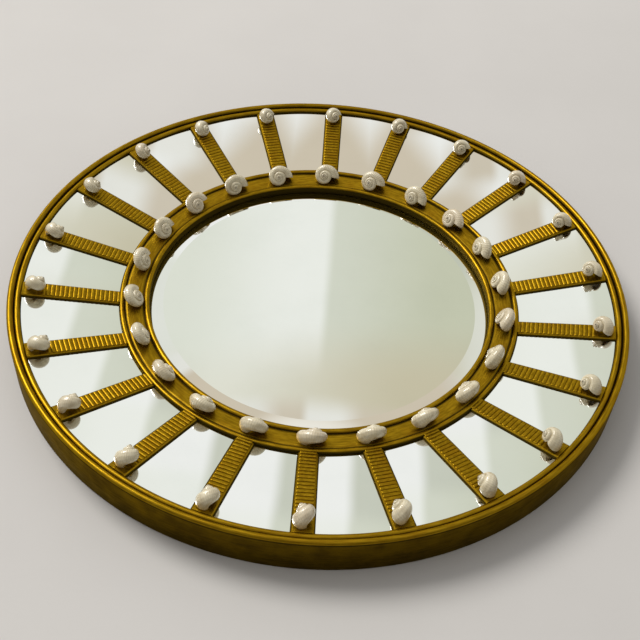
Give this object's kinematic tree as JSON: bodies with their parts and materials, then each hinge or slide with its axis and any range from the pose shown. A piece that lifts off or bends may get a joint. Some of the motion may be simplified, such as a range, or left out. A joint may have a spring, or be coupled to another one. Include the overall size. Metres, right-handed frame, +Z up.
{
  "type": "shell mirror",
  "caption": "Round wall mirror with a bevelled centre glass, a dished ring of mirror panels between reeded gilt spokes, a beaded gilt rim and two rings of pale turban shells.",
  "frame": {"origin": "centre of the back plane, where the middle of the rim meets the wall", "axes": "+Z up on the wall, -Y out of the mirror face towards the room, +X to the right as seen from the front"},
  "size_m": [0.9139, 0.0733, 0.914],
  "materials": {
    "gilt_rim": "antique gold leaf, dark in the grooves",
    "gilt_spoke": "antique gold leaf on reeded moulding",
    "mirror_glass": "silvered glass",
    "shell": "pearly white, polished",
    "board": "bare hardboard",
    "plain_wood": "bare softwood",
    "hanger_steel": "zinc plated",
    "screw_steel": "zinc plated"
  },
  "bodies": {
    "frame": {"outer_rim": "gilt_rim", "inner_ring": "gilt_rim", "centre_mirror": "mirror_glass", "backing_board": "board", "outer_bearer": "plain_wood", "inner_bearer": "plain_wood", "inner_shells": "shell", "outer_shells": "shell", "hanger_strap_left": "hanger_steel", "hanger_strap_right": "hanger_steel", "hanger_screws": "screw_steel", "board_screws": "screw_steel", "spoke_01": "gilt_spoke", "spoke_02": "gilt_spoke", "spoke_03": "gilt_spoke", "spoke_04": "gilt_spoke", "spoke_05": "gilt_spoke", "spoke_06": "gilt_spoke", "spoke_07": "gilt_spoke", "spoke_08": "gilt_spoke", "spoke_09": "gilt_spoke", "spoke_10": "gilt_spoke", "spoke_11": "gilt_spoke", "spoke_12": "gilt_spoke", "spoke_13": "gilt_spoke", "spoke_14": "gilt_spoke", "spoke_15": "gilt_spoke", "spoke_16": "gilt_spoke", "spoke_17": "gilt_spoke", "spoke_18": "gilt_spoke", "spoke_19": "gilt_spoke", "spoke_20": "gilt_spoke", "spoke_21": "gilt_spoke", "spoke_22": "gilt_spoke", "mirror_panel_01": "mirror_glass", "mirror_panel_02": "mirror_glass", "mirror_panel_03": "mirror_glass", "mirror_panel_04": "mirror_glass", "mirror_panel_05": "mirror_glass", "mirror_panel_06": "mirror_glass", "mirror_panel_07": "mirror_glass", "mirror_panel_08": "mirror_glass", "mirror_panel_09": "mirror_glass", "mirror_panel_10": "mirror_glass", "mirror_panel_11": "mirror_glass", "mirror_panel_12": "mirror_glass", "mirror_panel_13": "mirror_glass", "mirror_panel_14": "mirror_glass", "mirror_panel_15": "mirror_glass", "mirror_panel_16": "mirror_glass", "mirror_panel_17": "mirror_glass", "mirror_panel_18": "mirror_glass", "mirror_panel_19": "mirror_glass", "mirror_panel_20": "mirror_glass", "mirror_panel_21": "mirror_glass", "mirror_panel_22": "mirror_glass"},
    "left_loop": {"hanger_loop_left": "hanger_steel"},
    "right_loop": {"hanger_loop_right": "hanger_steel"}
  },
  "joints": [
    {"name": "left_loop_swing", "type": "hinge", "parent": "frame", "child": "left_loop", "pos_m": [-0.33176, -0.00295, 0.2513], "axis": [1, 0, 0], "range_deg": [0, 176]},
    {"name": "right_loop_swing", "type": "hinge", "parent": "frame", "child": "right_loop", "pos_m": [0.33176, -0.00295, 0.2513], "axis": [1, 0, 0], "range_deg": [0, 176]}
  ]
}
